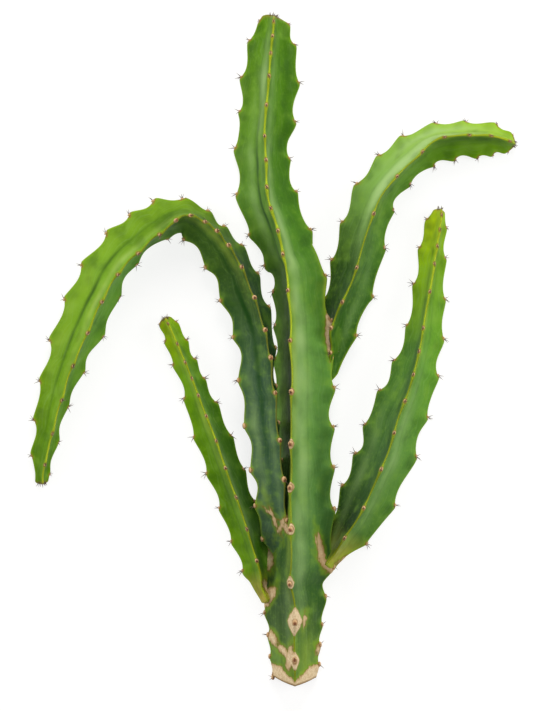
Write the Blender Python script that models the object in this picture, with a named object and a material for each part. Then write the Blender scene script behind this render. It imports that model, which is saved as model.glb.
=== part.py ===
"""Dragon fruit cutting: a three-winged climbing cactus stem with four side stems, cut and laid on a table.

The stem tip points to +Y, the cut end to -Y, and +Z is up from the table. Each stem is a swept
three-winged section whose crests are scalloped. An areole sits on every tooth, with two short spines.
Sizes below are in millimetres, as read from the plant, and are turned into metres where a mesh is made.
"""

import math
import random
from bisect import bisect_right

import bmesh
import bpy
import numpy as np
from mathutils import Matrix, Vector
from mathutils.bvhtree import BVHTree

MM = 0.001
SEED = 5

# The three wings, by the angle of each from the wing that faces up
WINGS = {"front": 0.0, "left": 120.0, "right": 240.0}

# A stem's route, base to tip: x, y, z of its axis, reach of its wings, and turn of the front wing in degrees
ROUTES = {
    "main_stem": (
        (18, -292, 12, 20, 90),
        (19, -265, 13, 23, 90),
        (19, -238, 14, 26, 90),
        (19, -214, 16, 30, 90),
        (18, -196, 17, 29, 93),
        (21, -176, 21, 34, 99),
        (22, -152, 21, 32, 103),
        (23, -101, 21, 30, 105),
        (23, -67, 21, 30, 104),
        (23, -1, 20, 30, 105),
        (19, 61, 18, 27, 104),
        (12, 81, 18, 27, 97),
        (6, 100, 17, 29, 93),
        (-4, 128, 15, 29, 89),
        (-7, 154, 15, 27, 86),
        (-7, 175, 14, 27, 87),
        (-4, 196, 15, 28, 92),
        (-2, 228, 14, 28, 91),
        (0, 257, 12, 23, 90),
        (1, 270, 11, 17, 90),
        (1, 277, 10, 13, 90),
        (2, 280, 10, 9, 90),
    ),
    "left_arching_stem": (
        (12, -182, 11, 7, 70),
        (7, -166, 11, 12, 72),
        (5, -146, 18, 17, 64),
        (3, -122, 25, 18, 60),
        (-2, -83, 27, 18, 60),
        (-6, -42, 27, 20, 60),
        (-12, 14, 23, 21, 70),
        (-21, 43, 20, 22, 75),
        (-34, 74, 19, 22, 75),
        (-53, 98, 20, 20, 73),
        (-71, 111, 21, 18, 84),
        (-88, 108, 21, 21, 108),
        (-109, 94, 19, 22, 116),
        (-131, 73, 18, 24, 112),
        (-146, 45, 17, 25, 106),
        (-159, 17, 17, 25, 104),
        (-171, -12, 16, 21, 106),
        (-181, -42, 13, 17, 109),
        (-188, -74, 10, 14, 107),
        (-192, -94, 8, 11, 103),
        (-193, -105, 7, 8, 100),
        (-193, -113, 6, 7, 100),
    ),
    "right_arching_stem": (
        (44, -25, 11, 5, 120),
        (50, -17, 10, 6, 126),
        (54, -3, 9, 10, 124),
        (56, 19, 12, 18, 112),
        (62, 44, 14, 23, 94),
        (70, 67, 13, 25, 90),
        (83, 116, 13, 23, 83),
        (96, 140, 13, 22, 80),
        (120, 164, 12, 21, 82),
        (138, 174, 11, 20, 95),
        (163, 177, 11, 19, 97),
        (184, 177, 10, 17, 96),
        (197, 174, 8, 12, 94),
        (204, 172, 6, 5, 92),
    ),
    "right_lower_stem": (
        (44, -181, 9, 9, 92),
        (53, -171, 10, 12, 94),
        (62, -157, 12, 19, 92),
        (74, -137, 13, 26, 90),
        (94, -93, 14, 29, 90),
        (104, -60, 14, 28, 90),
        (115, -33, 13, 26, 91),
        (126, 6, 11, 20, 94),
        (130, 33, 10, 17, 94),
        (134, 69, 8, 15, 84),
        (138, 100, 8, 12, 77),
        (140, 112, 7, 9, 76),
        (141, 118, 6, 7, 76),
    ),
    "left_lower_stem": (
        (-3, -212, 6, 6, 87),
        (-9, -200, 7, 9, 87),
        (-11, -186, 8, 15, 87),
        (-23, -146, 9, 18, 87),
        (-46, -82, 9, 18, 87),
        (-55, -58, 9, 17, 87),
        (-65, -31, 8, 13, 87),
        (-78, 1, 7, 11, 87),
        (-84, 15, 6, 10, 87),
        (-88, 23, 5, 8, 87),
        (-90, 27, 5, 6, 87),
    ),
}

# How far apart the areoles grow on each wing. The first number is the distance of the youngest from the tip.
# Each pair after it is a distance from the tip and the spacing there. They crowd where growth had paused.
SPACING = {
    "main_stem": {
        "front": (8, ((0, 10), (60, 25), (190, 18), (212, 42), (340, 43), (380, 32), (440, 40), (560, 28))),
        "left": (4, ((0, 14), (20, 31), (80, 29), (110, 35), (150, 29), (230, 29), (480, 32), (500, 18))),
        "right": (6, ((0, 9), (20, 32), (120, 34), (220, 38), (262, 23), (285, 32), (390, 35), (420, 47),
                      (470, 29), (520, 16))),
    },
    "left_arching_stem": {
        "front": (18, ((0, 26), (60, 31), (220, 26), (260, 12), (290, 12), (340, 31), (395, 22),
                       (420, 32), (450, 41), (490, 30))),
        "left": (8, ((0, 28), (100, 36), (350, 36), (400, 39), (460, 38), (490, 31))),
        "right": (22, ((0, 28), (120, 36), (260, 15), (290, 17), (360, 32), (560, 32))),
    },
    "right_arching_stem": {
        "front": (8, ((0, 14), (60, 23), (150, 48), (220, 22), (290, 22))),
        "left": (3, ((0, 12), (17, 24), (60, 22), (100, 24), (160, 33), (290, 35))),
        "right": (3, ((0, 12), (60, 28), (210, 42), (290, 30))),
    },
    "right_lower_stem": {
        "front": (6, ((0, 11), (35, 16), (60, 34), (110, 18), (220, 36), (300, 22))),
        "left": (10, ((0, 22), (60, 36), (170, 28), (300, 34))),
        "right": (14, ((0, 22), (40, 34), (80, 32), (110, 29), (170, 38), (210, 42), (255, 36))),
    },
    "left_lower_stem": {
        "front": (7, ((0, 19), (50, 14), (90, 22), (160, 28), (248, 26))),
        "left": (3, ((0, 14), (50, 34), (180, 30), (248, 18))),
        "right": (7, ((0, 17), (50, 18), (80, 31), (248, 25))),
    },
}
USUAL_SPACING = 30.0
BARE_BASE = 12.0  # the last stretch above a stem's base has no areole

# Skin colour of each stem, darker on old growth: red, green, blue
SKINS = {
    "main_stem": (0.10, 0.24, 0.07),
    "left_arching_stem": (0.12, 0.27, 0.05),
    "right_arching_stem": (0.13, 0.28, 0.08),
    "right_lower_stem": (0.16, 0.32, 0.04),
    "left_lower_stem": (0.18, 0.36, 0.03),
}

# The section of a stem
EDGE_HALF = 1.3  # half the thickness of a wing at its crest
THIN_SHARE = 0.3  # and at most this share of the reach, near a tip
EDGE_SHARE = 0.12  # how much of the way from crest to valley the rounded edge takes
ROOT_SHARE = 0.31  # depth of the valleys, as a share of the reach
TRUNK_SHARES = ((340, 0.31), (420, 0.38), (500, 0.46), (560, 0.54))  # the same, behind the main stem's tip
NECK_SHARE = 0.5  # how much rounder a side stem is at its neck
NECK_LENGTH = 7.0
FLANK_FULLNESS = 0.36  # how straight a wing's flank runs out from the valley
COLUMNS = (0.0, 0.08, 0.5, 1.0)  # points across half a wing, crest to valley
TIP_DOME = 2.5  # height of the dome that closes a tip
DOME_TURNS = (40.0, 75.0)  # degrees up the dome of its rows of points

# The scalloped crests
STATION_STEP = 8.0
SCALLOP_REACH = 28.0
TOOTH_DROP = 1.5  # how far below its areole a tooth is widest
TOOTH_SHARPNESS = 1.3
TOOTH_SKEW = 0.7  # below 1, a dip is deepest nearer to the tooth on the base's side
HANGING_SKEW = 1.35  # on the inner wing of the stem that hangs
HANGING_WING = ("left_arching_stem", "left")
TOOTH_UNEVEN = 0.25  # how much the depths of the dips differ
UNEVEN_STEP = 2.4
WORN_TRUNK = ((440, 1.0), (500, 0.45))  # how much of the teeth's height is left, by distance from the tip

# Depth of the dips between the teeth, where a stem is full grown
SCALLOPS = {
    "main_stem": 3.8,
    "left_arching_stem": 4.5,
    "right_arching_stem": 4.2,
    "right_lower_stem": 4.2,
    "left_lower_stem": 3.8,
}

# Spines
SPINE_ROOT = 1.6
SPINE_LENGTH = (4.5, 7.0)
SPINE_RADIUS = 0.55
SPINE_SPREAD = 32.0  # degrees from the wing's own direction, along the stem
SPINE_STRAY = 9.0
SPINE_SPLAY = 16.0  # degrees to either side of the wing
YOUNG_SPINE_SHARE = 0.45  # length of a spine at the tip of a stem, as a share of its full length
YOUNG_LENGTH = 100.0  # how far behind the tip the share grows by one
SPINE_CLEARANCE = 1.6  # from another stem, and from the table

# How the pieces meet
JOINT_GAP = 0.3
CUT_SLANT = 10.0  # degrees by which the cut end leans back from the front wing
CUT_Y = -277.0  # where the cut crosses the axis of the main stem

TABLE_SIZE = 800.0
SHARP_ANGLE = 40.0
SAME_POINT = 0.0005  # points this close are one


def clear_scene():
    for obj in list(bpy.data.objects):
        bpy.data.objects.remove(obj)


def collection(name):
    made = bpy.data.collections.new(name)
    bpy.context.scene.collection.children.link(made)
    return made


def through(points, spacing=1.0):
    """A smooth curve through the rows of a route, at even steps along it: a list of rows."""
    rows = [Vector(p) for p in points]
    rows = [2 * rows[0] - rows[1], *rows, 2 * rows[-1] - rows[-2]]
    fine = []
    for a, b, c, d in zip(rows, rows[1:], rows[2:], rows[3:]):
        steps = max(2, math.ceil((c - b).xyz.length / spacing))
        slope, bend, twist = c - a, 2 * a - 5 * b + 4 * c - d, 3 * b - a - 3 * c + d
        fine += [b + (slope * t + bend * t**2 + twist * t**3) / 2 for t in (i / steps for i in range(steps))]
    fine.append(rows[-2])
    return fine


def between(pairs, place):
    """The value at a place, on straight lines between pairs of place and value."""
    return float(np.interp(place, *zip(*pairs)))


class Stem:
    """The route of one stem, with its wings and the teeth on their crests."""

    def __init__(self, name):
        self.name = name
        self.branch = name != "main_stem"
        self.rows = through([Vector(row) for row in ROUTES[name]])
        self.distance = [0.0]
        for a, b in zip(self.rows, self.rows[1:]):
            self.distance.append(self.distance[-1] + (b - a).xyz.length)
        self.length = self.distance[-1]
        self.teeth = {wing: self.grown(*growth) for wing, growth in SPACING[name].items()}

    def grown(self, back, spacings):
        """Distances from the base of the teeth on one wing, walked from the tip down."""
        teeth = []
        while back < self.length - BARE_BASE:
            teeth.append(self.length - back)
            back += between(spacings, back)
        return teeth[::-1]

    def at(self, along):
        """Axis point, directions onward, sideways and up, reach and turn, at a distance from the base."""
        last = len(self.rows) - 1
        index = next((i for i in range(last) if self.distance[i + 1] >= along), last - 1)
        span = self.distance[index + 1] - self.distance[index]
        share = (along - self.distance[index]) / span
        row = self.rows[index].lerp(self.rows[index + 1], share)
        before, after = self.rows[max(index - 2, 0)], self.rows[min(index + 3, last)]
        onward = (after - before).xyz.normalized()
        sideways = onward.cross(Vector((0, 0, 1))).normalized()
        return row.xyz, onward, sideways, sideways.cross(onward), row[3], row[4]

    def dip(self, wing, along):
        """0 on a tooth and about 1 in the deepest place between two."""
        teeth = [t - TOOTH_DROP for t in self.teeth[wing]]
        teeth = [teeth[0] - USUAL_SPACING, *teeth, teeth[-1] + USUAL_SPACING]
        below = min(max(bisect_right(teeth, along) - 1, 0), len(teeth) - 2)
        share = (along - teeth[below]) / (teeth[below + 1] - teeth[below])
        skew = HANGING_SKEW if (self.name, wing) == HANGING_WING else TOOTH_SKEW
        uneven = 1.0 + TOOTH_UNEVEN * math.sin(UNEVEN_STEP * below + len(wing) + len(self.name))
        return math.sin(math.pi * min(max(share, 0.0), 1.0) ** skew) ** TOOTH_SHARPNESS * uneven

    def crest_reach(self, wing, along, reach):
        depth = SCALLOPS[self.name] * math.sqrt(min(1.0, reach / SCALLOP_REACH))
        if not self.branch:
            depth *= between(WORN_TRUNK, self.length - along)
        return reach - depth * self.dip(wing, along)

    def root_share(self, along):
        """How deep the valleys are: less so on the old trunk and at the neck of a side stem."""
        if self.branch:
            return ROOT_SHARE + NECK_SHARE * math.exp(-along / NECK_LENGTH)
        return between(TRUNK_SHARES, self.length - along)

    def wing_axes(self, wing, along):
        """Axis point, onward, out along the wing, square to the wing, and the reach of its crest."""
        point, onward, sideways, up, reach, turn = self.at(along)
        angle = math.radians(turn + WINGS[wing])
        out = sideways * math.cos(angle) + up * math.sin(angle)
        across = up * math.cos(angle) - sideways * math.sin(angle)
        return point, onward, out, across, self.crest_reach(wing, along, reach)

    def flank(self, wing, along, share, side):
        """A point on the skin, from the crest (share 0) to the valley (share 1) on one side of a wing."""
        point, _, out, across, crest = self.wing_axes(wing, along)
        reach = self.at(along)[4]
        edge = min(EDGE_HALF, THIN_SHARE * reach)
        valley = Vector((0.5, math.sqrt(0.75))) * self.root_share(along) * reach
        if share <= EDGE_SHARE:
            bend = math.pi / 2 * share / EDGE_SHARE
            reached = Vector((crest - edge + edge * math.cos(bend), edge * math.sin(bend)))
        else:
            t = (share - EDGE_SHARE) / (1 - EDGE_SHARE)
            shoulder = Vector((crest - edge, edge))
            pull = valley + Vector((math.sqrt(0.75), -0.5)) * FLANK_FULLNESS * reach
            reached = (1 - t) ** 2 * shoulder + 2 * t * (1 - t) * pull + t**2 * valley
        return point + out * reached.x + across * reached.y * side


def ring_columns():
    """Once round the section: wing, share of the way from crest to valley, and side."""
    names = list(WINGS)
    columns = []
    for wing, following in zip(names, names[1:] + names[:1]):
        columns += [(wing, share, 1) for share in COLUMNS]
        columns += [(following, share, -1) for share in reversed(COLUMNS[1:-1])]
    return columns


def rolled_sheet(name, stem):
    """The skin of a stem: a flat sheet rolled up into the section at each station, closed at both ends."""
    columns = ring_columns()
    last = stem.length - TIP_DOME
    steps = round(last / STATION_STEP)
    stations = [(last * step / steps, 1.0) for step in range(steps + 1)]
    for turn in DOME_TURNS:
        turn = math.radians(turn)
        stations.append((last + TIP_DOME * math.sin(turn), math.cos(turn)))
    mesh = bmesh.new()
    bmesh.ops.create_grid(mesh, x_segments=len(columns), y_segments=len(stations) - 1, size=1.0)
    for index, vertex in enumerate(mesh.verts):
        station, column = divmod(index, len(columns) + 1)
        along, width = stations[station]
        wing, share, side = columns[column % len(columns)]
        vertex.co = stem.at(along)[0].lerp(stem.flank(wing, along, share, side), width) * MM
    bmesh.ops.remove_doubles(mesh, verts=mesh.verts, dist=SAME_POINT * MM)
    bmesh.ops.holes_fill(mesh, edges=mesh.edges, sides=0)
    bmesh.ops.recalc_face_normals(mesh, faces=mesh.faces)
    return as_object(name, mesh)


def as_object(name, mesh):
    data = bpy.data.meshes.new(name)
    mesh.to_mesh(data)
    mesh.free()
    return bpy.data.objects.new(name, data)


def slant_cut(stem_object):
    """The knife's cut through the base of the main stem."""
    mesh = bmesh.new()
    mesh.from_mesh(stem_object.data)
    slant = math.radians(CUT_SLANT)
    axis_height = ROUTES["main_stem"][1][2]
    bmesh.ops.bisect_plane(
        mesh,
        geom=mesh.verts[:] + mesh.edges[:] + mesh.faces[:],
        plane_co=Vector((0, CUT_Y, axis_height)) * MM,
        plane_no=Vector((0, -math.cos(slant), -math.sin(slant))),
        clear_outer=True,
    )
    bmesh.ops.holes_fill(mesh, edges=mesh.edges, sides=0)
    mesh.to_mesh(stem_object.data)
    mesh.free()


def spine(foot, direction, length):
    """A three-sided spine that stands on foot, with its root sunk into the wing."""
    mesh = bmesh.new()
    bmesh.ops.create_cone(
        mesh,
        cap_ends=True,
        segments=3,
        radius1=SPINE_RADIUS * MM,
        radius2=0.0,
        depth=(length + SPINE_ROOT) * MM,
    )
    middle = foot + direction * (length - SPINE_ROOT) / 2
    turn = direction.to_track_quat("Z", "X").to_matrix().to_4x4()
    bmesh.ops.transform(mesh, matrix=Matrix.Translation(middle * MM) @ turn, verts=mesh.verts)
    return as_object("spine", mesh)


def near_other(point, others):
    """Whether a point lies inside another stem, or close to its skin."""
    for tree in others:
        nearest, normal, _, distance = tree.find_nearest(point * MM)
        if distance < SPINE_CLEARANCE * MM or (point * MM - nearest).dot(normal) < 0:
            return True
    return False


def spines(stem, others, rng):
    """The spines on every tooth, left out where they would touch another stem or the table."""
    made = []
    for wing, places in stem.teeth.items():
        for along in places:
            axis_point, onward, out, across, crest = stem.wing_axes(wing, along)
            foot = axis_point + out * crest
            age = min(1.0, YOUNG_SPINE_SHARE + (stem.length - along) / YOUNG_LENGTH)
            for lean_way in (-1, 1):
                lean = math.radians(SPINE_SPREAD * lean_way + rng.uniform(-SPINE_STRAY, SPINE_STRAY))
                splay = math.radians(rng.uniform(-SPINE_SPLAY, SPINE_SPLAY))
                direction = (out + onward * math.tan(lean) + across * math.tan(splay)).normalized()
                length = rng.uniform(*SPINE_LENGTH) * age
                # A spine at the table lies along it.
                direction.z = max(direction.z, (SPINE_CLEARANCE - foot.z) / length)
                direction.normalize()
                tip = foot + direction * length
                if foot.z < SPINE_CLEARANCE or near_other(tip, others) or near_other(foot, others):
                    continue
                made.append(spine(foot, direction, length))
    return made


def join_by_union(body, pieces, group):
    """Fuses the pieces into the body with one Boolean on their collection, which is then emptied."""
    for piece in pieces:
        group.objects.link(piece)
    union = body.modifiers.new("spines", "BOOLEAN")
    union.operation = "UNION"
    union.operand_type = "COLLECTION"
    union.collection = group
    union.solver = "EXACT"
    apply_modifiers(body)
    for piece in pieces:
        bpy.data.objects.remove(piece)


def apply_modifiers(obj):
    graph = bpy.context.evaluated_depsgraph_get()
    data = bpy.data.meshes.new_from_object(obj.evaluated_get(graph))
    obj.modifiers.clear()
    obj.data = data


def subtract(body, cutter):
    cut = body.modifiers.new(cutter.name, "BOOLEAN")
    cut.operation = "DIFFERENCE"
    cut.object = cutter
    cut.solver = "EXACT"


def tidy_cuts(obj):
    """Joins points that the cuts have left as good as on each other, and drops loose scraps."""
    mesh = bmesh.new()
    mesh.from_mesh(obj.data)
    bmesh.ops.remove_doubles(mesh, verts=mesh.verts, dist=SAME_POINT * MM)
    unseen = set(mesh.verts)
    islands = []
    while unseen:
        island, edge = set(), {unseen.pop()}
        while edge:
            island |= edge
            edge = {e.other_vert(v) for v in edge for e in v.link_edges} - island
        unseen -= island
        islands.append(island)
    islands.sort(key=len)
    scraps = [v for island in islands[:-1] for v in island]
    bmesh.ops.delete(mesh, geom=scraps, context="VERTS")
    mesh.to_mesh(obj.data)
    mesh.free()


def clearance_cutter(stem_object, group):
    """A copy of a bare stem, swollen by the gap that pieces keep from each other."""
    cutter = stem_object.copy()
    cutter.data = stem_object.data.copy()
    cutter.name = stem_object.name + "_clearance"
    swell = cutter.modifiers.new("gap", "DISPLACE")
    swell.strength = JOINT_GAP * MM
    swell.mid_level = 0.0
    group.objects.link(cutter)
    cutter.hide_render = True
    cutter.display_type = "WIRE"
    return cutter


def table_cutter(group):
    """Everything under the table top."""
    bpy.ops.mesh.primitive_cube_add(size=TABLE_SIZE * MM, location=(0, 0, -TABLE_SIZE / 2 * MM))
    table = bpy.context.active_object
    table.name = "table_top"
    for owner in list(table.users_collection):
        owner.objects.unlink(table)
    group.objects.link(table)
    table.hide_render = True
    table.display_type = "WIRE"
    return table


def skin_material(name):
    material = bpy.data.materials.new(name + "_skin")
    material.use_nodes = True
    shader = material.node_tree.nodes["Principled BSDF"]
    shader.inputs["Base Color"].default_value = (*SKINS[name], 1.0)
    shader.inputs["Roughness"].default_value = 0.45
    shader.inputs["Metallic"].default_value = 0.0
    return material


def main():
    clear_scene()
    plant = collection("dragon_fruit_cutting")
    cutters = collection("cutters")
    small = collection("spines")
    table = table_cutter(cutters)
    stems = {name: Stem(name) for name in ROUTES}
    bodies = {name: rolled_sheet(name, stem) for name, stem in stems.items()}
    slant_cut(bodies["main_stem"])
    for body in bodies.values():
        plant.objects.link(body)
        body.data.materials.append(skin_material(body.name))
    bpy.context.view_layer.update()
    graph = bpy.context.evaluated_depsgraph_get()
    trees = {name: BVHTree.FromObject(body, graph) for name, body in bodies.items()}
    clearances = {name: clearance_cutter(body, cutters) for name, body in bodies.items()}
    rng = random.Random(SEED)
    neighbours = {
        "main_stem": (),
        "left_arching_stem": ("main_stem",),
        "right_arching_stem": ("main_stem",),
        "right_lower_stem": ("main_stem",),
        "left_lower_stem": ("main_stem", "left_arching_stem"),
    }
    for name, body in bodies.items():
        others = [tree for other, tree in trees.items() if other != name]
        join_by_union(body, spines(stems[name], others, rng), small)
        for neighbour in neighbours[name]:
            subtract(body, clearances[neighbour])
        subtract(body, table)
        apply_modifiers(body)
        tidy_cuts(body)
        body.data.shade_smooth()
        body.data.set_sharp_from_angle(angle=math.radians(SHARP_ANGLE))


main()
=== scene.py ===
# %% [markdown]
# Dragon fruit cutting, dressed.
# The object is a cut piece of a climbing cactus: one main stem with four side stems, each with three wings.
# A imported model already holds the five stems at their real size. This script never moves or resizes them.
# It builds a finer skin on the same routes, adds the areoles and spines, and paints everything with nodes.
# Lengths are in millimetres where no comment says otherwise, and become metres on the way into a mesh.

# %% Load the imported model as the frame
import math
import random

import bmesh
import bpy
import numpy as np
from mathutils import Matrix, Vector, noise
from mathutils.bvhtree import BVHTree


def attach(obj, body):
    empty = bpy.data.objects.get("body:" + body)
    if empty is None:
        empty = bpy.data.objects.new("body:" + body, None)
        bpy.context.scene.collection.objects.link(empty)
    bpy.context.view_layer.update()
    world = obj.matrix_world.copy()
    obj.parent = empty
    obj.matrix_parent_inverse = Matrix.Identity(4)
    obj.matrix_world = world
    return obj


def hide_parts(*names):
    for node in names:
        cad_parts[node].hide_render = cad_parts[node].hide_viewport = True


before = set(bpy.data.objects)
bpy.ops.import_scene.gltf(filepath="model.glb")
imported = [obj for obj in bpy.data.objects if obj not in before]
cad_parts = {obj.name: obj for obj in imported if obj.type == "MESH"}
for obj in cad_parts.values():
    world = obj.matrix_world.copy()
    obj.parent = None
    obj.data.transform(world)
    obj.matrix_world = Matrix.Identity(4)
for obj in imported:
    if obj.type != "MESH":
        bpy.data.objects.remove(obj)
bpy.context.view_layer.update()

print("nodes:", sorted(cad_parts))

# %% [markdown]
# The camera comes first, because a picture has to be framed before anything else.
# The cutting was photographed upright and lies on its back here, so the camera looks straight down on it.
# A long lens from far away keeps the stems' outlines free of perspective.

# %% Camera, straight above
MM = 0.001
PICTURE_HEIGHT = 711  # pixels, on a width of 533
PIXEL = 0.84  # millimetres of the plant in one pixel
VIEW_CENTRE = (-4.6, -5.0)
VIEW_DISTANCE = 5000.0
SENSOR = 36.0


def add_object(name, data):
    """A new object at the origin of the scene, with the mesh, light or camera that it shows."""
    made = bpy.data.objects.new(name, data)
    bpy.context.scene.collection.objects.link(made)
    return made


camera_data = bpy.data.cameras.new("camera")
camera_data.sensor_width = SENSOR
camera_data.lens = SENSOR * VIEW_DISTANCE / (PICTURE_HEIGHT * PIXEL)
camera = add_object("camera", camera_data)
camera.location = Vector((*VIEW_CENTRE, VIEW_DISTANCE)) * MM
bpy.context.scene.camera = camera
print("lens:", round(camera_data.lens), "mm")

# %% [markdown]
# Colours are written as sRGB hex values, the way a painter's program shows them. Shaders calculate in linear
# light, so one function turns the hex value into that. Another fills a node's inputs and a third adds a node
# with its settings, and every material below is made with them.

# %% Colour and node helpers


def linear(hex_colour):
    """An sRGB hex value such as "#7fa32c" as linear red, green, blue and an alpha of 1."""
    parts = [int(hex_colour[i : i + 2], 16) / 255 for i in (1, 3, 5)]
    return (*[c / 12.92 if c <= 0.04045 else ((c + 0.055) / 1.055) ** 2.4 for c in parts], 1.0)


def wire(tree, made, inputs):
    """Fills inputs of a node, by name or number: with a value, or a link from a socket or from a node."""
    for key, value in inputs.items():
        socket = next(s for n, s in enumerate(made.inputs) if key in (n, s.name) and s.enabled)
        if isinstance(value, bpy.types.Node):
            value = next(s for s in value.outputs if s.enabled)
        if isinstance(value, bpy.types.NodeSocket):
            tree.links.new(value, socket)
        else:
            socket.default_value = value


def node(tree, kind, inputs=None, stops=(), **settings):
    """Adds a node with its settings and its inputs, and with the stops of its ramp if it has one."""
    made = tree.nodes.new("ShaderNode" + kind)
    for key, value in settings.items():
        setattr(made, key, value)
    if stops:
        elements = made.color_ramp.elements
        while len(elements) < len(stops):
            elements.new(1.0)
        for element, (position, colour) in zip(elements, stops):
            element.position, element.color = position, linear(colour)
    wire(tree, made, inputs or {})
    return made


def finish(name, inputs):
    """A new material with a Principled shader, whose plain values are given by name."""
    material = bpy.data.materials.new(name)
    material.use_nodes = True
    shader = material.node_tree.nodes["Principled BSDF"]
    wire(material.node_tree, shader, inputs)
    return material, material.node_tree, shader


print("a leaf green in linear light:", [round(c, 3) for c in linear("#7fa32c")])

# %% [markdown]
# The stage is a pale floor and soft studio light. Shadows on white paper are faint in a product picture,
# because the paper itself is lit from all sides. Here the floor glows a little instead, which fills the
# shadows in and sends some light up to the undersides of the stems.

# %% Floor, lights and surroundings
FLOOR_SIZE = 30.0  # metres
FLOOR_DROP = 0.2 * MM
FLOOR_GLOW = 0.78
SURROUND = 0.22

# Pale matt paper with a glow of its own
dull_grey = {"Base Color": linear("#8c8c8c"), "Roughness": 0.9, "Specular IOR Level": 0.1}
paper, tree, shader = finish("white_paper", dull_grey)
wire(tree, shader, {"Emission Color": linear("#ffffff"), "Emission Strength": FLOOR_GLOW})


def mesh_of(name, shape):
    """Turns a shape under construction into a mesh that an object can show."""
    data = bpy.data.meshes.new(name)
    shape.to_mesh(data)
    shape.free()
    return data


sheet = bmesh.new()
bmesh.ops.create_grid(sheet, x_segments=1, y_segments=1, size=FLOOR_SIZE / 2)
bmesh.ops.translate(sheet, verts=sheet.verts, vec=(0, 0, -FLOOR_DROP))
floor_data = mesh_of("floor", sheet)
floor_data.materials.append(paper)
floor = add_object("floor", floor_data)

# Name, place in metres, width of the box in metres, power in watts, colour
SOFT_BOXES = (
    ("top_light", (0.2, 2.1, 1.5), 1.4, 40.0, "#fffaf2"),
    ("right_light", (2.1, 0.4, 1.1), 1.2, 26.0, "#fffdf8"),
    ("left_light", (-2.1, 0.4, 1.1), 1.2, 26.0, "#fffdf8"),
    ("front_light", (0.1, -0.2, 2.6), 1.6, 16.0, "#ffffff"),
)

for name, place, width, power, colour in SOFT_BOXES:
    light = bpy.data.lights.new(name, "AREA")
    light.shape = "DISK"
    light.size = width
    light.energy = power
    light.color = linear(colour)[:3]
    lamp = add_object(name, light)
    lamp.location = place
    lamp.rotation_euler = (-Vector(place)).to_track_quat("-Z", "Y").to_euler()

world = bpy.data.worlds.new("studio")
world.use_nodes = True
light_round = {"Color": linear("#ffffff"), "Strength": SURROUND}
wire(world.node_tree, world.node_tree.nodes["Background"], light_round)
bpy.context.scene.world = world
bpy.context.scene.view_settings.view_transform = "Standard"
print("lights:", [box[0] for box in SOFT_BOXES])

# %% [markdown]
# A stem of this cactus is a long soft rod with three thin wings. One wing faces the camera and the other two
# reach out to the left and the right. Each stem follows a smooth route through a few points, which hold the
# place of its axis, how far its wings reach and how far it is turned. These are the same numbers that the
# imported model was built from, so the finer skin lies exactly where the plain one does.

# %% The routes of the five stems
WING_ANGLE = {"right": -120.0, "front": 0.0, "left": 120.0}
MAIN = "main_stem"
LEFT_ARCH, RIGHT_ARCH = "left_arching_stem", "right_arching_stem"
LEFT_LOW, RIGHT_LOW = "left_lower_stem", "right_lower_stem"

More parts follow.
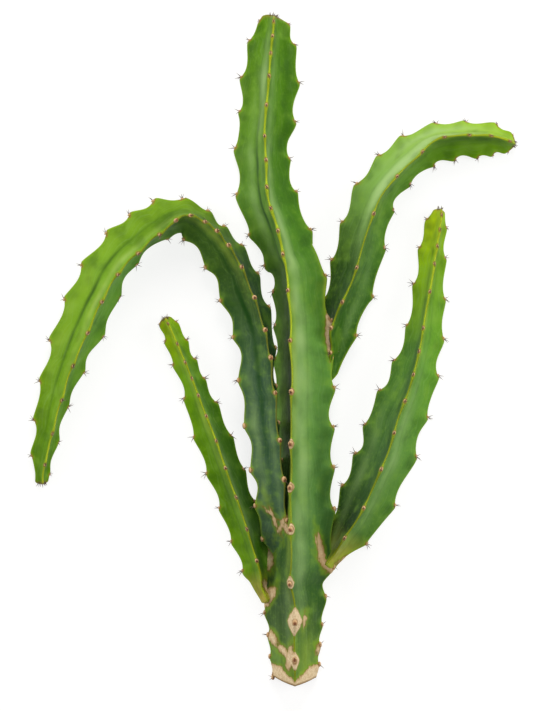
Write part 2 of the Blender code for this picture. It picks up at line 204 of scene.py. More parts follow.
# Base to tip, in millimetres: x, y, z of the axis, reach of the wings, and turn of the front wing in degrees
ROUTES = {
    MAIN: (
        (18, -292, 12, 20, 90), (19, -265, 13, 23, 90), (19, -238, 14, 26, 90),
        (19, -214, 16, 30, 90), (18, -196, 17, 29, 93), (21, -176, 21, 34, 99),
        (22, -152, 21, 32, 103), (23, -101, 21, 30, 105), (23, -67, 21, 30, 104),
        (23, -1, 20, 30, 105), (19, 61, 18, 27, 104), (12, 81, 18, 27, 97),
        (6, 100, 17, 29, 93), (-4, 128, 15, 29, 89), (-7, 154, 15, 27, 86),
        (-7, 175, 14, 27, 87), (-4, 196, 15, 28, 92), (-2, 228, 14, 28, 91),
        (0, 257, 12, 23, 90), (1, 270, 11, 17, 90), (1, 277, 10, 13, 90),
        (2, 280, 10, 9, 90),
    ),
    LEFT_ARCH: (
        (12, -182, 11, 7, 70), (7, -166, 11, 12, 72), (5, -146, 18, 17, 64),
        (3, -122, 25, 18, 60), (-2, -83, 27, 18, 60), (-6, -42, 27, 20, 60),
        (-12, 14, 23, 21, 70), (-21, 43, 20, 22, 75), (-34, 74, 19, 22, 75),
        (-53, 98, 20, 20, 73), (-71, 111, 21, 18, 84), (-88, 108, 21, 21, 108),
        (-109, 94, 19, 22, 116), (-131, 73, 18, 24, 112), (-146, 45, 17, 25, 106),
        (-159, 17, 17, 25, 104), (-171, -12, 16, 21, 106), (-181, -42, 13, 17, 109),
        (-188, -74, 10, 14, 107), (-192, -94, 8, 11, 103), (-193, -105, 7, 8, 100),
        (-193, -113, 6, 7, 100),
    ),
    RIGHT_ARCH: (
        (44, -25, 11, 5, 120), (50, -17, 10, 6, 126), (54, -3, 9, 10, 124),
        (56, 19, 12, 18, 112), (62, 44, 14, 23, 94), (70, 67, 13, 25, 90),
        (83, 116, 13, 23, 83), (96, 140, 13, 22, 80), (120, 164, 12, 21, 82),
        (138, 174, 11, 20, 95), (163, 177, 11, 19, 97), (184, 177, 10, 17, 96),
        (197, 174, 8, 12, 94), (204, 172, 6, 5, 92),
    ),
    RIGHT_LOW: (
        (44, -181, 9, 9, 92), (53, -171, 10, 12, 94), (62, -157, 12, 19, 92),
        (74, -137, 13, 26, 90), (94, -93, 14, 29, 90), (104, -60, 14, 28, 90),
        (115, -33, 13, 26, 91), (126, 6, 11, 20, 94), (130, 33, 10, 17, 94),
        (134, 69, 8, 15, 84), (138, 100, 8, 12, 77), (140, 112, 7, 9, 76),
        (141, 118, 6, 7, 76),
    ),
    LEFT_LOW: (
        (-3, -212, 6, 6, 87), (-9, -200, 7, 9, 87), (-11, -186, 8, 15, 87),
        (-23, -146, 9, 18, 87), (-46, -82, 9, 18, 87), (-55, -58, 9, 17, 87),
        (-65, -31, 8, 13, 87), (-78, 1, 7, 11, 87), (-84, 15, 6, 10, 87),
        (-88, 23, 5, 8, 87), (-90, 27, 5, 6, 87),
    ),
}
ROUTE_STEP = 0.5


def smooth_route(rows):
    """A smooth curve through the rows of a route, as an array of rows about half a millimetre apart."""
    rows = np.array(rows, float)
    rows = np.vstack([2 * rows[0] - rows[1], rows, 2 * rows[-1] - rows[-2]])
    fine = []
    for a, b, c, d in zip(rows, rows[1:], rows[2:], rows[3:]):
        count = max(2, math.ceil(np.linalg.norm((c - b)[:3]) / ROUTE_STEP))
        t = np.arange(count)[:, None] / count
        slope, bend, twist = c - a, 2 * a - 5 * b + 4 * c - d, 3 * b - a - 3 * c + d
        fine.append(b + (slope * t + bend * t**2 + twist * t**3) / 2)
    fine.append(rows[-2:-1])
    return np.vstack(fine)


print("rows along the main stem:", len(smooth_route(ROUTES[MAIN])))

# %% [markdown]
# Areoles are the small felted cushions that carry the spines, one on each tooth of a wing. Away from the tip
# they are older and further apart, and they crowd where the stem had paused. A short rule for each wing gives
# the first areole behind the tip and the spacing at a few distances.

# %% Where the areoles grow
SPACING = {
    MAIN: {
        "front": (8, ((0, 10), (60, 25), (190, 18), (212, 42), (340, 43), (380, 32), (440, 40), (560, 28))),
        "left": (4, ((0, 14), (20, 31), (80, 29), (110, 35), (150, 29), (230, 29), (480, 32), (500, 18))),
        "right": (6, ((0, 9), (20, 32), (120, 34), (220, 38), (262, 23), (285, 32), (390, 35), (420, 47),
                      (470, 29), (520, 16))),
    },
    LEFT_ARCH: {
        "front": (18, ((0, 26), (60, 31), (220, 26), (260, 12), (290, 12), (340, 31), (395, 22),
                       (420, 32), (450, 41), (490, 30))),
        "left": (8, ((0, 28), (100, 36), (350, 36), (400, 39), (460, 38), (490, 31))),
        "right": (22, ((0, 28), (120, 36), (260, 15), (290, 17), (360, 32), (560, 32))),
    },
    RIGHT_ARCH: {
        "front": (8, ((0, 14), (60, 23), (150, 48), (220, 22), (290, 22))),
        "left": (3, ((0, 12), (17, 24), (60, 22), (100, 24), (160, 33), (290, 35))),
        "right": (3, ((0, 12), (60, 28), (210, 42), (290, 30))),
    },
    RIGHT_LOW: {
        "front": (6, ((0, 11), (35, 16), (60, 34), (110, 18), (220, 36), (300, 22))),
        "left": (10, ((0, 22), (60, 36), (170, 28), (300, 34))),
        "right": (14, ((0, 22), (40, 34), (80, 32), (110, 29), (170, 38), (210, 42), (255, 36))),
    },
    LEFT_LOW: {
        "front": (7, ((0, 19), (50, 14), (90, 22), (160, 28), (248, 26))),
        "left": (3, ((0, 14), (50, 34), (180, 30), (248, 18))),
        "right": (7, ((0, 17), (50, 18), (80, 31), (248, 25))),
    },
}
BARE_BASE = 12.0
USUAL_SPACING = 30.0  # to the teeth past both ends of a wing, which only shape the dips there


def read_off(table, where):
    """The value at a distance, or at an array of them, from a table of distances and values."""
    return np.interp(where, *zip(*table))


def areoles_on(length, first, spacings):
    """Distances from the base of the areoles on one wing, base to tip."""
    places = []
    back = first
    while back < length - BARE_BASE:
        places.append(length - back)
        back += read_off(spacings, back)
    return np.array(places[::-1])


print("areoles on the main stem's front wing:", len(areoles_on(573, *SPACING[MAIN]["front"])))

# %% [markdown]
# The section is the same three-winged shape all the way: a rounded crest, then a flank that swells gently
# into the valley between two wings. Round it the skin is one sheet of 96 strips, with its seam in the valley
# on the underside. They are narrow at the crests, where the eye looks for teeth and edges. A crest dips
# between two teeth, nearer to the lower one, and each areole sits in a notch.

# %% The section and the toothed crests
EDGE_HALF = 0.9
THIN_SHARE = 0.3  # most that half an edge may be of the reach, near a tip
EDGE_SHARE = 0.12  # share of the strips' way from crest to valley that the round edge takes
ROOT_SHARE = 0.31  # distance of a valley from the axis, as a share of the reach
NECK_SHARE = 0.5  # how much rounder a side stem is where it grows out
NECK_LENGTH = 7.0
TRUNK_SHARES = ((340, 0.31), (420, 0.38), (500, 0.46), (560, 0.54))
FLANK_FULLNESS = 0.36
SCALLOP_REACH = 28.0
TOOTH_DROP = 1.5  # a tooth points this far below its areole
TOOTH_SHARPNESS = 1.3
TOOTH_SKEW = 0.7  # below 1, a dip is deepest nearer to the tooth on the base's side
HANGING_SKEW = 1.35  # on the inner wing of the stem that hangs
TOOTH_UNEVEN = 0.25
TOOTH_PHASE = 2.4
WORN_TRUNK = ((440, 1.0), (500, 0.45))  # how much of the teeth's height is left on the oldest growth
NOTCH_DEPTH = 0.5
NOTCH_HALF = 1.2
WANDER = 0.6
WANDER_LENGTH = 23.0
WANDER_BEAT = 2.3  # the second wave of a crest, against the first
WING_PHASE = 2.1
FRAME_REACH = 2.5  # the route's direction is taken between points this far to each side
EDGE_STRIPS = 4
FLANK_STRIPS = 12
FLANK_CROWDING = 1.15

# Depth in millimetres of the dips between the teeth, where a stem is full grown
SCALLOPS = {MAIN: 3.8, LEFT_ARCH: 4.5, RIGHT_ARCH: 4.2, RIGHT_LOW: 4.2, LEFT_LOW: 3.8}

# Places of the columns from a crest (0) to the valley (1), then the wing, place and side of every column
EDGE_POINTS = np.linspace(0, EDGE_SHARE, EDGE_STRIPS + 1)
FLANK_POINTS = EDGE_SHARE + (1 - EDGE_SHARE) * np.linspace(0, 1, FLANK_STRIPS + 1)[1:] ** FLANK_CROWDING
SHARES = np.concatenate([EDGE_POINTS, FLANK_POINTS])
HALF = len(SHARES) - 1
WING_NAMES = list(WING_ANGLE)
COLUMN_WING = np.append(np.repeat(range(3), 2 * HALF), 2)
COLUMN_SHARE = np.concatenate([SHARES[::-1], SHARES[1:-1]] * 3 + [[1.0]])
COLUMN_SIDE = np.array(([-1] * HALF + [1] * HALF) * 3 + [1])
COLUMN_ANGLE = np.radians(list(WING_ANGLE.values()))[COLUMN_WING]
COLUMNS = len(COLUMN_SHARE)
ON_FRONT = COLUMN_WING == WING_NAMES.index("front")
CREST_COLUMNS = [HALF + 2 * HALF * w for w in range(3)]
VALLEY_COLUMNS = [2 * HALF * w for w in range(4)]
print("strips round a stem:", COLUMNS - 1)

# %% One stem


class Stem:
    """One stem: its route, its areoles, and every point of its skin by distance from the base."""

    def __init__(self, name):
        self.name = name
        self.branch = name != MAIN
        self.route = smooth_route(ROUTES[name])
        steps = np.linalg.norm(np.diff(self.route[:, :3], axis=0), axis=1)
        self.distance = np.concatenate([[0.0], np.cumsum(steps)])
        self.length = self.distance[-1]
        self.areoles = {wing: areoles_on(self.length, *rule) for wing, rule in SPACING[name].items()}

    def row(self, along):
        """The route's values at distances from the base."""
        return np.stack([np.interp(along, self.distance, self.route[:, k]) for k in range(5)], axis=-1)

    def frame(self, along):
        """Axis point, onward, sideways, up, reach and turn at distances from the base."""
        row = self.row(along)
        onward = (self.row(along + FRAME_REACH) - self.row(along - FRAME_REACH))[:, :3]
        onward /= np.linalg.norm(onward, axis=1, keepdims=True)
        sideways = np.cross(onward, (0.0, 0.0, 1.0))
        sideways /= np.linalg.norm(sideways, axis=1, keepdims=True)
        return row[:, :3], onward, sideways, np.cross(sideways, onward), row[:, 3], np.radians(row[:, 4])

    def crest(self, wing, along, reach):
        """How far a wing's crest reaches from the axis, and how far it wanders to the side."""
        areoles = self.areoles[wing]
        teeth = areoles - TOOTH_DROP
        teeth = np.concatenate([[teeth[0] - USUAL_SPACING], teeth, [teeth[-1] + USUAL_SPACING]])
        below = np.clip(np.searchsorted(teeth, along, side="right") - 1, 0, len(teeth) - 2)
        share = np.clip((along - teeth[below]) / (teeth[below + 1] - teeth[below]), 0, 1)
        hanging = self.name == LEFT_ARCH and wing == "left"
        dip = np.sin(np.pi * share ** (HANGING_SKEW if hanging else TOOTH_SKEW)) ** TOOTH_SHARPNESS
        dip = dip * (1 + TOOTH_UNEVEN * np.sin(TOOTH_PHASE * below + len(wing) + len(self.name)))
        size = np.sqrt(np.minimum(1.0, reach / SCALLOP_REACH))
        if not self.branch:
            dip = dip * read_off(WORN_TRUNK, self.length - along)
        from_areole = np.abs(along[:, None] - areoles[None, :] - NOTCH_HALF / 2).min(axis=1)
        notch = NOTCH_DEPTH * np.exp(-((from_areole / NOTCH_HALF) ** 2))
        phase = WING_PHASE * WING_NAMES.index(wing) + len(self.name)
        turns = along / WANDER_LENGTH
        wander = WANDER * size * (np.sin(turns + phase) + np.sin(WANDER_BEAT * turns + 2 * phase)) / 2
        return reach - (SCALLOPS[self.name] * dip + notch) * size, wander

    def skin(self, along, shrink):
        """The bare skin: an array of rows by columns of points. Shrink draws a row in towards the axis."""
        point, onward, sideways, up, reach, turn = self.frame(along)
        wings = np.stack([self.crest(wing, along, reach) for wing in WING_NAMES], axis=2)
        crest, wander = wings[..., COLUMN_WING]
        reach = reach[:, None]
        edge = np.minimum(EDGE_HALF, THIN_SHARE * reach)
        if self.branch:
            share = ROOT_SHARE + NECK_SHARE * np.exp(-along / NECK_LENGTH)
        else:
            share = read_off(TRUNK_SHARES, self.length - along)
        root = share[:, None] * reach
        bend = np.pi / 2 * np.minimum(COLUMN_SHARE / EDGE_SHARE, 1)
        t = np.maximum((COLUMN_SHARE - EDGE_SHARE) / (1 - EDGE_SHARE), 0)
        near, middle, far = (1 - t) ** 2, 2 * t * (1 - t), t**2
        corner = math.sqrt(0.75)  # a valley lies 60 degrees from its crests, and this is the sine of that
        pull = FLANK_FULLNESS * reach
        outward = near * (crest - edge) + middle * (root / 2 + corner * pull) + far * root / 2
        aside = near * edge + middle * (corner * root - pull / 2) + far * corner * root
        on_edge = COLUMN_SHARE < EDGE_SHARE
        outward = np.where(on_edge, crest - edge + edge * np.cos(bend), outward)
        aside = np.where(on_edge, edge * np.sin(bend), aside)
        aside = aside * COLUMN_SIDE + wander * near
        angle = turn[:, None] + COLUMN_ANGLE
        right = outward * np.cos(angle) - aside * np.sin(angle)
        high = outward * np.sin(angle) + aside * np.cos(angle)
        spread = right[..., None] * sideways[:, None] + high[..., None] * up[:, None]
        return point[:, None] + spread * shrink[:, None, None]

    def seat(self, wing, along):
        """Where an areole sits on a wing's crest: the point, out, onward and across."""
        at = np.array([along])
        point, onward, sideways, up, reach, turn = self.frame(at)
        crest, wander = self.crest(wing, at, reach)
        angle = turn[0] + math.radians(WING_ANGLE[wing])
        out = sideways[0] * math.cos(angle) + up[0] * math.sin(angle)
        across = up[0] * math.cos(angle) - sideways[0] * math.sin(angle)
        foot = point[0] + out * crest[0] + across * wander[0]
        return Vector(foot), Vector(out), Vector(onward[0]), Vector(across)


stems = {name: Stem(name) for name in ROUTES}
print("lengths in mm:", {name: round(stem.length) for name, stem in stems.items()})

# %% [markdown]
# Old skin of this cactus turns to cork. On the trunk a pale diamond of it surrounds every areole of the front
# wing, larger with age. Elsewhere cork has healed over scrapes, the joints of the side stems and the rim of
# the cut. Each patch is a shape, and every point of the skin gets its depth inside the nearest one in
# millimetres. The shader can then draw a crisp, ragged border, and the skin can be raised.

# %% Patches of cork
CORK_AGE = 318.0
CORK_GROWTH = 64.0
CORK_START = 3.2
CORK_SLIMNESS = 1.05
DIAMOND_CURVE = 1.2  # a diamond with straight sides has 1, and above that the sides are fuller
OLD_WOUND_AGE = (500.0, 535.0)
OLD_WOUND = 1.9  # how much larger the patch is round the areole that was wounded
CUT_Y = -277.0
CUT_HEIGHT = ROUTES[MAIN][1][2]
CUT_SLANT = math.tan(math.radians(10.0))
CUT_BLEND = 30.0
RIM_BAND = (4.2, 0.32)  # height of the cork above the cut: at the front crest, and its growth away from it
RIM_MOST = 12.0
CORK_LUMP = 3.0  # size of the nicks in a patch's border, and how far they reach
CORK_NICK = 1.3
FAR = -9.0  # the depth of a point in no patch, and without its sign a distance that counts as far

# The scar where the left arching stem parts from the main one lies on both of them
FORK_SCAR = (
    (-1, -137, 4, 0.9, 50), (2, -142, 8, 1.1, 20),
    (9, -145, 7, 1.6, -25), (12, -149, 5, 2.2, 30),
)
# x, y of the middle, half length, half width, and lean of the long side from +Y in degrees
SCARS = {
    MAIN: (
        *FORK_SCAR,
        (-2, -175, 9, 3.2, 0), (-3, -208, 10, 3.8, -30), (1, -242, 7, 3.0, 28),
        (10, -252, 6, 2.8, 50), (15, -257, 9, 3.0, -8), (41, -169, 13, 2.6, 12),
        (46, -181, 9, 2.8, 40), (48, 13, 18, 3.4, 3), (27, -226, 4, 1.2, -8),
        (38, -252, 4, 1.5, 0),
    ),
    LEFT_ARCH: FORK_SCAR,
    RIGHT_LOW: ((62, -176, 9, 2.4, -62),),
    LEFT_LOW: ((-5, -198, 5, 2.4, 20),),
}


def soft_noise(places, size):
    """Smooth noise from -1 to 1 at an array of places, with lumps of the given size."""
    flat = (places / size).reshape(-1, 3)
    return np.array([noise.noise(Vector(place)) for place in flat]).reshape(places.shape[:2])


def cork_depth(stem, points, along, crest_gap, cut_gap):
    """How far inside a patch of cork each point of the skin lies, in millimetres, and below 0 outside."""
    depth = np.full(points.shape[:2], FAR)
    if not stem.branch:
        for areole in stem.areoles["front"]:
            age = stem.length - areole
            if age > CORK_AGE:
                half_long = CORK_START + (age - CORK_AGE) / CORK_GROWTH
                if OLD_WOUND_AGE[0] < age < OLD_WOUND_AGE[1]:
                    half_long *= OLD_WOUND
                half_wide = CORK_SLIMNESS * half_long
                away = np.abs(along[:, None] - areole) / half_long
                diamond = 1 - away**DIAMOND_CURVE - (crest_gap / half_wide) ** DIAMOND_CURVE
                depth = np.where(ON_FRONT, np.maximum(depth, diamond * half_wide), depth)
        band = np.minimum(RIM_BAND[0] + RIM_BAND[1] * crest_gap, RIM_MOST)
        band = np.where(ON_FRONT, band, RIM_MOST)
        depth = np.maximum(depth, band - cut_gap[:, None])
    for x, y, half_long, half_wide, lean in SCARS.get(stem.name, ()):
        lean = math.radians(lean)
        right, onward = points[..., 0] - x, points[..., 1] - y
        length = (onward * math.cos(lean) - right * math.sin(lean)) / half_long
        width = (right * math.cos(lean) + onward * math.sin(lean)) / half_wide
        depth = np.maximum(depth, (1 - np.hypot(length, width)) * half_wide)
    return np.maximum(depth + CORK_NICK * soft_noise(points, CORK_LUMP), FAR)


print("scars:", {name: len(scars) for name, scars in SCARS.items()})

# %% [markdown]
# Real skin is never a clean sweep. It swells under every areole, which catches the light above and throws a
# soft shade below. It is folded along the valleys, dimpled where the stem had shrunk, and wrinkled across on
# old growth. All of it is a height in millimetres at each point, which moves the point along the normal.

# %% The relief of the skin
SWELL_UP = 2.6
SWELL_DOWN = 8.0
SWELL_WIDE = 7.0
SWELL_MIDDLE = 2.0
NO_AREOLE = 60.0  # a distance that counts as none near
GROOVE_DEPTH = 0.2
GROOVE_HALF = 1.3
BEAD_HEIGHT = 0.25
BEAD_HALF = 1.0
CORK_HEIGHT = 0.4
CORK_STEP = (0.8, 0.4)  # how far the rise to that height takes, and the share of it at the border
CREST_CALM = 4.0  # nearer to a crest than this, dimples and wrinkles fade out
DIMPLE_SIZE = 13.0
RIPPLE_SIZE = 5.0
RIPPLE_SHARE = 0.35
RIPPLE_SHIFT = 50.0  # reads the noise elsewhere than the dimples do
WRINKLE_LONG = 3.2
WRINKLE_WIDE = 15.0
WRINKLE_FADE = 60.0
# Where the painted light above an areole's swelling and the painted shade below it lie
PAINTED_LIGHT_ABOVE = (3.5, 3.5, 3.0, 6.0)  # middle and half length along the stem, then the same from the crest
PAINTED_SHADE_BELOW = (-6.5, 5.5, 6.0, 6.5)

# Height in millimetres of the swellings, dimples and wrinkles, and where the wrinkles start behind the tip
RELIEF = {
    MAIN: (0.7, 0.55, 0.10, 300.0),
    LEFT_ARCH: (0.7, 0.60, 0.22, 250.0),
    RIGHT_ARCH: (0.6, 0.80, 0.12, 120.0),
    RIGHT_LOW: (0.6, 0.55, 0.08, 120.0),
    LEFT_LOW: (0.5, 0.35, 0.05, 100.0),
}

# How much of the lime line on the front crest has worn off, in mm from its edge, by distance behind the tip
LINE_WEAR = {
    MAIN: ((0, 0.8), (80, 0.3), (230, 0.0), (330, 0.9), (560, 1.2)),
    LEFT_ARCH: ((60, 0.4), (200, 0.9), (270, 1.9), (560, 2.3)),
    RIGHT_ARCH: ((0, 0.5), (120, 0.8), (290, 0.8)),
    RIGHT_LOW: ((40, 0.3), (150, 0.9), (308, 0.9)),
    LEFT_LOW: ((100, 0.5), (248, 0.6)),
}
print("swellings in mm:", {name: values[0] for name, values in RELIEF.items()})

# %% Measures and height of the skin


def bell(value, middle, half):
    """1 at the middle, falling softly to a third at half a width away and to nothing past that."""
    return np.exp(-(((value - middle) / half) ** 2))


def outward(points, axis):
    """The skin's normal at each point, from its neighbours along and round the stem."""
    wrapped = np.concatenate([points[:, -2:-1], points, points[:, 1:2]], axis=1)
    normal = np.cross(np.gradient(points, axis=0), wrapped[:, 2:] - wrapped[:, :-2])
    normal /= np.maximum(np.linalg.norm(normal, axis=2, keepdims=True), 1e-9)
    facing = np.sign((normal * (points - axis[:, None])).sum(axis=2).mean())
    return normal * facing


def from_columns(points, marks):
    """The distance across the skin from each point to the nearest marked column, and to the seam."""
    steps = np.linalg.norm(np.diff(points, axis=1), axis=2)
    across = np.concatenate([np.zeros((len(points), 1)), np.cumsum(steps, axis=1)], axis=1)
    return np.abs(across[:, :, None] - across[:, marks][:, None, :]).min(axis=2), across


def areole_fields(stem, along, crest_gap):
    """Distance to the nearest areole, and masks: the swelling, painted light above it, painted shade below.
    """
    gap = np.full(crest_gap.shape, NO_AREOLE)
    swell, above, below = (np.zeros(crest_gap.shape) for _ in range(3))
    for index, wing in enumerate(WING_NAMES):
        strip = COLUMN_WING == index
        offset = along[:, None] - stem.areoles[wing][None, :]
        nearest = np.abs(offset).min(axis=1)[:, None]
        rise = np.exp(-((offset / np.where(offset > 0, SWELL_UP, SWELL_DOWN)) ** 2)).max(axis=1)[:, None]
        lit = bell(offset, *PAINTED_LIGHT_ABOVE[:2]).max(axis=1)[:, None]
        shaded = bell(offset, *PAINTED_SHADE_BELOW[:2]).max(axis=1)[:, None]
        gap = np.where(strip, np.hypot(nearest, crest_gap), gap)
        swell = np.where(strip, rise * bell(crest_gap, SWELL_MIDDLE, SWELL_WIDE), swell)
        above = np.where(strip, lit * bell(crest_gap, *PAINTED_LIGHT_ABOVE[2:]), above)
        below = np.where(strip, shaded * bell(crest_gap, *PAINTED_SHADE_BELOW[2:]), below)
    return gap, swell, above, below


def relief(stem, points, skin_map, fields):
    """The height of the skin over its plain form at each point, in millimetres."""
    swelling, dimple, wrinkle, wrinkled_from = RELIEF[stem.name]
    size = np.minimum(1.0, stem.frame(fields["base"])[4] / SCALLOP_REACH)[:, None]
    old = np.clip((fields["back"] - wrinkled_from) / WRINKLE_FADE, 0, 1)[:, None]
    crest_gap = np.minimum(fields["rib"], fields["edge"])
    off_edge = np.clip(crest_gap / CREST_CALM, 0, 1)
    height = swelling * size * fields["swell"]
    height -= GROOVE_DEPTH * size * bell(fields["valley"], 0.0, GROOVE_HALF)
    height += BEAD_HEIGHT * bell(crest_gap, 0.0, BEAD_HALF)
    height += dimple * size * soft_noise(points, DIMPLE_SIZE) * off_edge
    height += RIPPLE_SHARE * dimple * soft_noise(points + RIPPLE_SHIFT, RIPPLE_SIZE) * off_edge
    drawn_out = np.dstack([skin_map / (WRINKLE_LONG, WRINKLE_WIDE), np.zeros(skin_map.shape[:2])])
    height += wrinkle * old * soft_noise(drawn_out, 1.0) * off_edge
    height += CORK_HEIGHT * np.clip(fields["cork"] / CORK_STEP[0] + CORK_STEP[1], 0, 1)
    return height


print("measured and raised:", list(RELIEF))

# %% [markdown]
# Long soft streaks run down each stem, and they are painted light and shade: pale bands of painted sheen,
# which is partly the wax's own bloom, yellow-green bands of painted light on flanks turned to the light, and
# painted shade in the valleys and on flanks turned away from it. A place round the stem is counted from the
# front crest, so that 1 is the valley to its right, 2 the right crest and 3 the valley on the underside, and
# the left side is the same below 0. A streak is then a soft oval in that count and in the distance from the
# tip.

# %% Streaks of painted sheen, painted light and painted shade
STREAK_PATCH = 17.0
STREAK_UNEVEN = 0.5

# Kind, middle and half width round the stem, middle and half length behind the tip in mm, and strength
STREAKS = {
    MAIN: (
        ("bloom", -0.6, 0.5, 60, 60, 0.48), ("bloom", -1.25, 0.3, 150, 95, 0.35),
        ("bloom", 0.5, 0.45, 200, 130, 0.6), ("shade", 1.55, 0.4, 90, 130, 0.5),
        ("shade", -1.75, 0.3, 90, 150, 0.35), ("shade", -0.85, 0.12, 170, 120, 0.75),
        ("sun", 0.25, 0.25, 290, 80, 0.55), ("bloom", 0.6, 0.6, 300, 90, 0.6),
        ("bloom", 0.7, 0.45, 370, 90, 0.48), ("bloom", 0.5, 0.45, 450, 70, 0.45),
        ("shade", 1.6, 0.35, 420, 110, 0.6), ("sun", 1.92, 0.12, 240, 30, 0.7),
        ("bloom", 0.45, 0.35, 60, 60, 0.3), ("bloom", -0.5, 0.3, 505, 50, 0.28),
        ("bloom", -1.5, 0.4, 535, 40, 0.22), ("sun", -0.3, 0.3, 380, 120, 0.5),
        ("sun", 0.9, 0.6, 555, 40, 0.35),
    ),
    LEFT_ARCH: (
        ("sun", 0.45, 0.3, 165, 105, 0.35), ("bloom", 0.4, 0.25, 190, 80, 0.3),
        ("shade", 1.0, 0.14, 160, 110, 0.62), ("sun", 1.5, 0.5, 150, 120, 0.25),
        ("shade", 1.4, 0.5, 30, 45, 0.3), ("bloom", -1.5, 0.3, 470, 90, 0.35),
        ("shade", -1.0, 0.22, 390, 110, 0.75), ("shade", -1.65, 0.5, 370, 90, 0.55),
        ("sun", -0.45, 0.35, 300, 70, 0.35), ("bloom", -0.45, 0.3, 480, 70, 0.3),
        ("shade", 0.8, 0.6, 400, 200, 0.6),
    ),
    RIGHT_ARCH: (
        ("bloom", -0.55, 0.5, 100, 65, 0.85), ("bloom", -1.4, 0.3, 60, 60, 0.5),
        ("shade", 0.6, 0.5, 40, 60, 0.4), ("shade", -0.6, 0.5, 240, 60, 0.6),
        ("bloom", 1.3, 0.4, 220, 70, 0.3),
    ),
    RIGHT_LOW: (
        ("sun", 0.25, 0.25, 90, 120, 0.4), ("bloom", 0.9, 0.5, 200, 90, 0.35),
        ("shade", -0.4, 0.4, 180, 140, 0.5), ("bloom", -1.45, 0.3, 230, 70, 0.35),
        ("shade", -0.6, 0.35, 90, 110, 0.45), ("bloom", 1.2, 0.5, 100, 60, 0.12),
    ),
    LEFT_LOW: (
        ("sun", -0.5, 0.5, 60, 90, 0.45), ("bloom", 0.5, 0.25, 150, 110, 0.35),
        ("shade", 1.5, 0.6, 180, 120, 0.4), ("shade", -0.95, 0.1, 130, 120, 0.3),
    ),
}


def streaks(stem, points, round_stem, back):
    """How strong the painted sheen, light and shade are at each point of the skin."""
    uneven = 1 + STREAK_UNEVEN * soft_noise(points, STREAK_PATCH)
    strong = {kind: np.zeros(round_stem.shape) for kind in ("bloom", "sun", "shade")}
    for kind, middle, half, back_middle, back_half, strength in STREAKS[stem.name]:
        oval = strength * bell(round_stem, middle, half) * bell(back, back_middle, back_half)[:, None]
        strong[kind] = np.maximum(strong[kind], oval * uneven)
    return strong


print("streaks:", {name: len(rows) for name, rows in STREAKS.items()})

# %% [markdown]
# A stem's skin starts as a flat grid, about one row for each millimetre and one column for each strip of the
# section, and is rolled up by moving its points. A swept curve would be quicker, but it has one section all
# the way and no teeth. The rows close in a small dome at each end. At the cut they run in over a callused rim
# and a sunken ring of dried flesh to the woody core. The measures that the paint needs are stored on the
# points.

# %% Rolling up the skins
STATION = 1.1  # from row to row along a stem
TIP_DOME = 2.5
BASE_DOME = 3.0
DOME_ROWS = 6
RIM_ROUND = 0.7
SAME_POINT = 0.001
MEASURES = "back round rib line edge valley areole above below bloom sun shade rim cork".split()

# From the pith out to the rim: share of the section, and depth below the plane of the cut
CUT_FACE = (
    (0.0, -0.7), (0.1, -0.6), (0.17, -0.1), (0.22, 0.9), (0.34, 1.5),
    (0.5, 1.5), (0.68, 1.1), (0.82, 0.5), (0.92, 0.0), (0.975, -0.1),
)
CREST_ROUND = np.array([2.0, 0.0, -2.0])
ROUND_STEM = CREST_ROUND[COLUMN_WING] - COLUMN_SIDE * COLUMN_SHARE


def rows_of(stem):
    """Distance from the base, share of the section, and depth into the cut, for every row of the skin."""
    turn = np.linspace(0, math.pi / 2, DOME_ROWS + 1)
    if stem.branch:
        start = 0.0
        base = BASE_DOME * (1 - np.cos(turn[:-1]))
        base_share, base_depth = np.sin(turn[:-1]), 0 * base
    else:
        start = float(np.interp(CUT_Y, stem.route[:, 1], stem.distance))
        base_share, base_depth = np.array(CUT_FACE).T
        base = start + 0 * base_share
    first = start + (BASE_DOME if stem.branch else RIM_ROUND)
    last = stem.length - TIP_DOME
    body = np.linspace(first, last, round((last - first) / STATION))
    along = np.concatenate([base, body, last + TIP_DOME * np.sin(turn[1:])])
    shrink = np.concatenate([base_share, np.ones(len(body)), np.cos(turn[1:])])
    depth = np.concatenate([base_depth, np.zeros(len(along) - len(base))])
    return along, shrink, depth, start


print("rows of skin:", {name: len(rows_of(stem)[0]) for name, stem in stems.items()})

# %% Points of the finished skin


def skin_of(stem):
    """Points of the finished skin, its map in millimetres, and the measures that the paint needs."""
    along, shrink, depth, start = rows_of(stem)
    axis, onward = stem.frame(along)[:2]
    points = stem.skin(along, shrink) + (onward * depth[:, None])[:, None]
    crest_gap, across = from_columns(points, CREST_COLUMNS)
    areole_gap, swell, above, below = areole_fields(stem, along, crest_gap)
    back = stem.length - along
    round_stem = np.broadcast_to(ROUND_STEM, crest_gap.shape)
    rib = np.where(ON_FRONT, crest_gap, -FAR)
    worn = read_off(LINE_WEAR[stem.name], back)
    fields = {
        "base": along,
        "back": back,
        "round": round_stem,
        "rib": rib,
        "line": rib + worn[:, None],
        "edge": np.where(ON_FRONT, -FAR, crest_gap),
        "valley": from_columns(points, VALLEY_COLUMNS)[0],
        "areole": areole_gap,
        "swell": swell,
        "above": above,
        "below": below,
        "rim": along - start,
        "cork": cork_depth(stem, points, along, crest_gap, along - start),
        **streaks(stem, points, round_stem, back),
    }
    front = across[:, CREST_COLUMNS[1]][:, None]
    skin_map = np.stack([np.broadcast_to(along[:, None], across.shape), across - front], axis=-1)
    firm = shrink if stem.branch else np.where(along > start, shrink, 0.0)
    height = relief(stem, points, skin_map, fields) * firm[:, None] ** 2
    height[:, -1] = height[:, 0]
    points = points + outward(points, axis) * height[..., None]
    if not stem.branch:
        leaning = np.clip(1 - (along - start) / CUT_BLEND, 0, 1)[:, None]
        points[..., 1] -= (points[..., 2] - CUT_HEIGHT) * CUT_SLANT * leaning
    points[..., 2] = np.maximum(points[..., 2], 0.0)
    return points, skin_map, fields


print("measures for the paint:", MEASURES)

# %% Closed meshes


